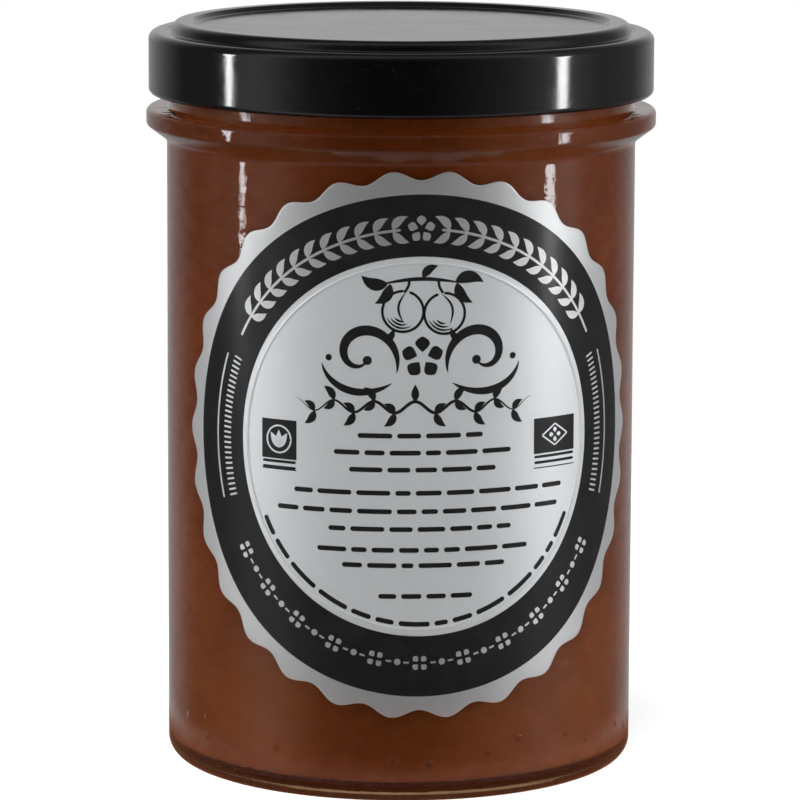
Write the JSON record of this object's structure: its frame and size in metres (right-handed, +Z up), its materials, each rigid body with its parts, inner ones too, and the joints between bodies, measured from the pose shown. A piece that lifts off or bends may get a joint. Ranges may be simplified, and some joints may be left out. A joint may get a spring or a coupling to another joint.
{
  "type": "jar of apricot jam",
  "caption": "Straight glass jar filled with apricot jam, closed by a black twist-off metal lid, with a round wavy-edged silver label.",
  "frame": {"origin": "centre of the ring that the jar stands on", "axes": "+Z up along the jar's axis; the label faces -Y"},
  "size_m": [0.0672, 0.0672, 0.0983],
  "materials": {
    "clear_glass": "clear flint glass, glossy, slightly wavy",
    "apricot_jam": "translucent brown-orange jam, smooth and glossy",
    "black_lacquer": "glossy black lacquer on pressed tinplate",
    "sealing_compound": "satin off-white sealing compound",
    "silver_label": "silver metallised label film, satin",
    "black_print": "black ink printed on the label, satin"
  },
  "bodies": {
    "root": {"glass_jar": "clear_glass", "jam": "apricot_jam", "lid": "black_lacquer", "gasket": "sealing_compound", "label": "silver_label"}
  },
  "joints": []
}
